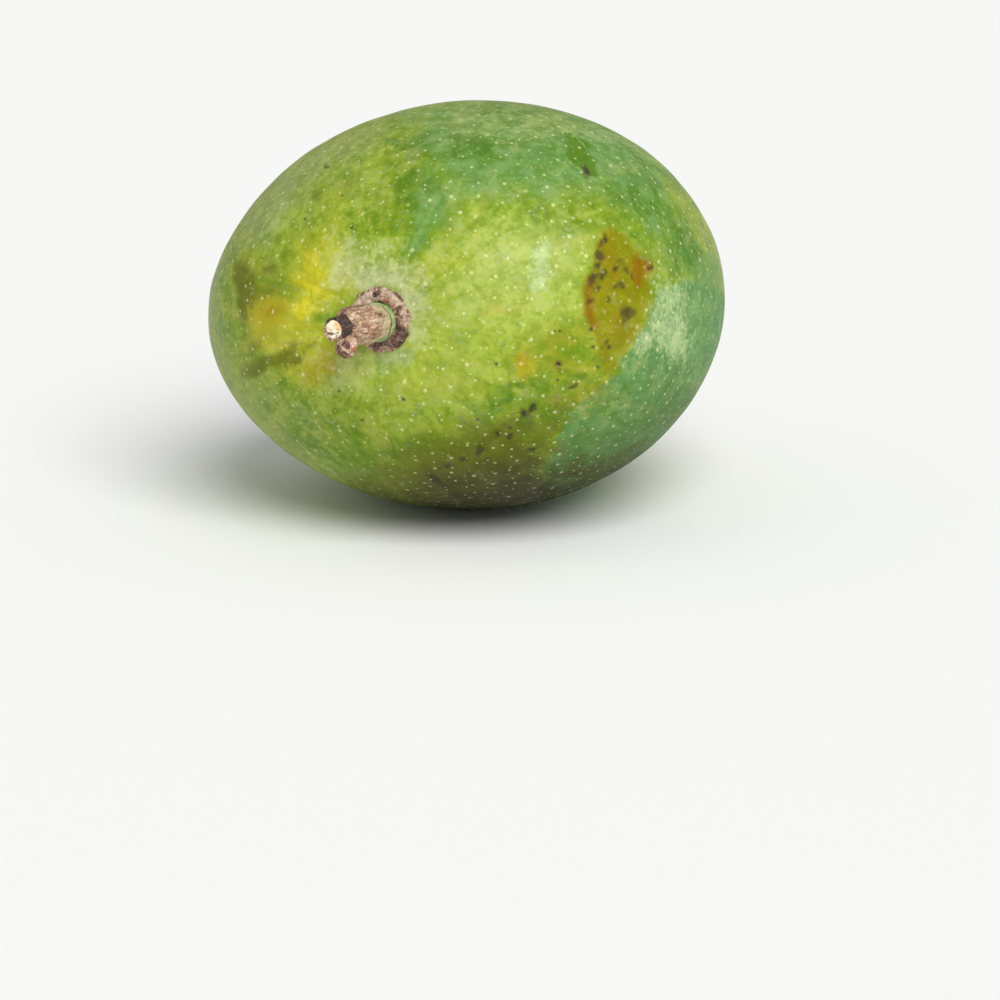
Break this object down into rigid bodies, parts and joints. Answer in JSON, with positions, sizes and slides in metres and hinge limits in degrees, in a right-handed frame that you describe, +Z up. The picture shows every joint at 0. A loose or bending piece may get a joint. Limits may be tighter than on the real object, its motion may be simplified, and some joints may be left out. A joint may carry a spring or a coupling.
{
  "type": "mango",
  "caption": "Whole mango lying on its cheek: a smooth, slightly flattened egg shape with a slight beak at its far end and a short woody stem stub leaning out of a corky collar.",
  "frame": {"origin": "under the middle of the whole mango's bounding box, on the surface that it lies on", "axes": "+Z up; +Y along the fruit, from its stem end to its far end; +X towards the back of the fruit, so its belly, with the beak, is at -X"},
  "size_m": [0.0922, 0.1152, 0.073],
  "materials": {
    "mango_skin": "satin",
    "stem_bark": "matte"
  },
  "bodies": {
    "root": {"fruit": "mango_skin", "stem": "stem_bark"}
  },
  "joints": []
}
